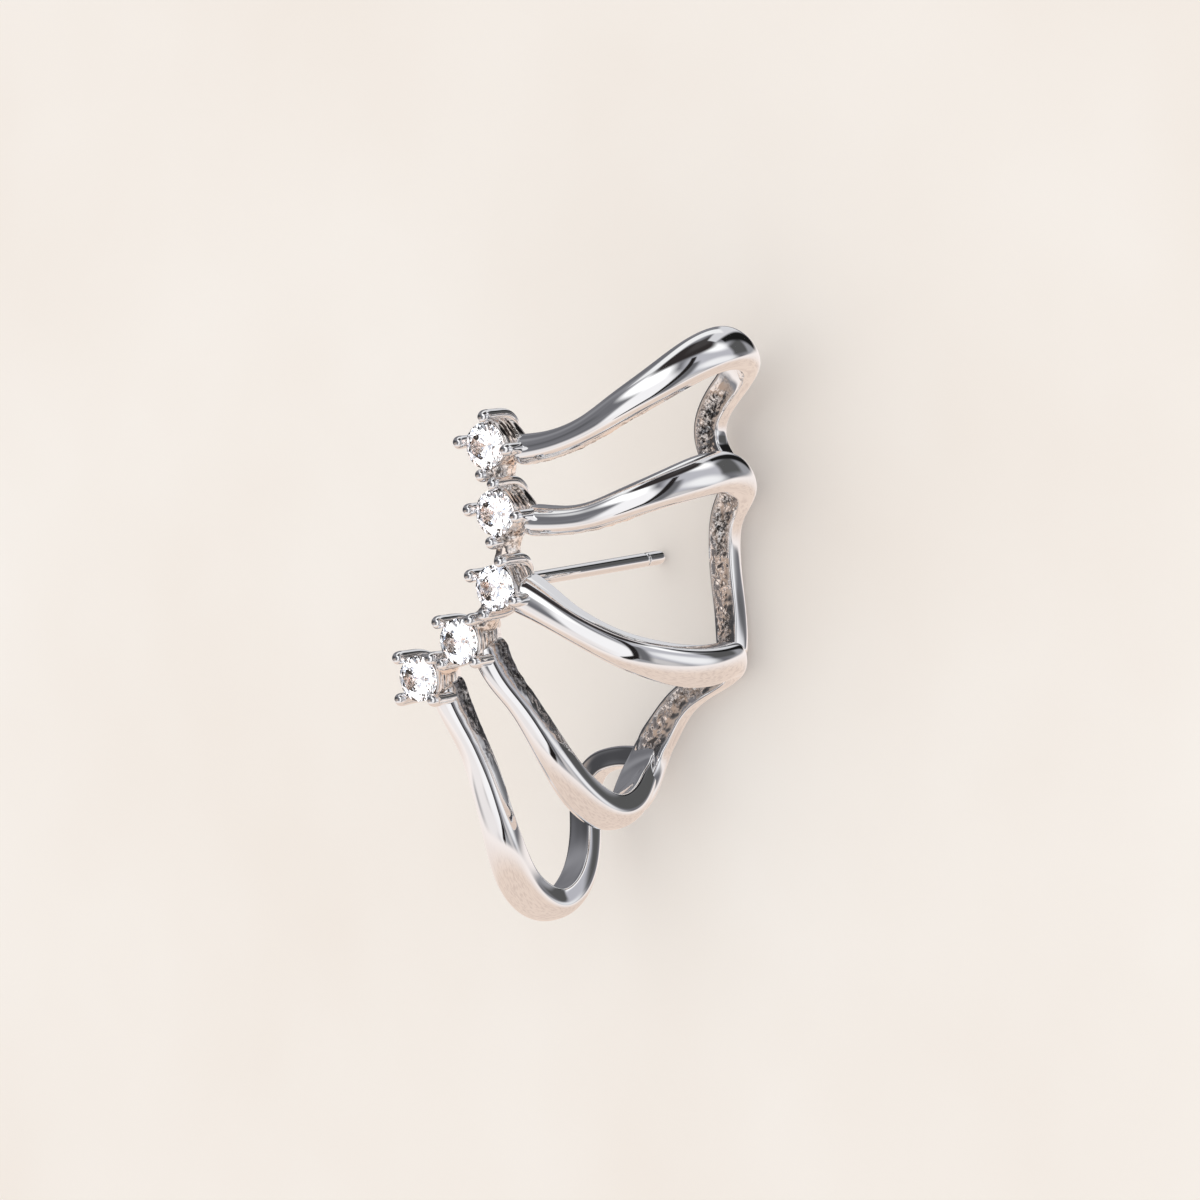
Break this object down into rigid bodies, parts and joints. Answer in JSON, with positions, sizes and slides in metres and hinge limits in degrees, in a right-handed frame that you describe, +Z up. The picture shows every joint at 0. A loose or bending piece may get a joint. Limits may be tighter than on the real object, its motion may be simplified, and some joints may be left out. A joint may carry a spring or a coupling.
{
  "type": "ear wrap",
  "caption": "Polished silver ear wrap: claw-set round stones, domed bands that hook round the ear's rim into a scalloped spine, and a straight ear post.",
  "frame": {"origin": "on the table, under the middle of the wrap's bounding box, as it rests on its back", "axes": "+Y up the ear, from the lowest band to the top one; +X sideways, from the row of stones to the rim of the ear; +Z up from the table, out of the front of the stones"},
  "size_m": [0.0168, 0.0288, 0.0148],
  "materials": {
    "polished_silver": "high polish, rhodium plated",
    "clear_stone": "faceted brilliant cut"
  },
  "bodies": {
    "root": {"wrap_frame": "polished_silver", "stone_1": "clear_stone", "stone_2": "clear_stone", "stone_3": "clear_stone", "stone_4": "clear_stone", "stone_5": "clear_stone"}
  },
  "joints": []
}
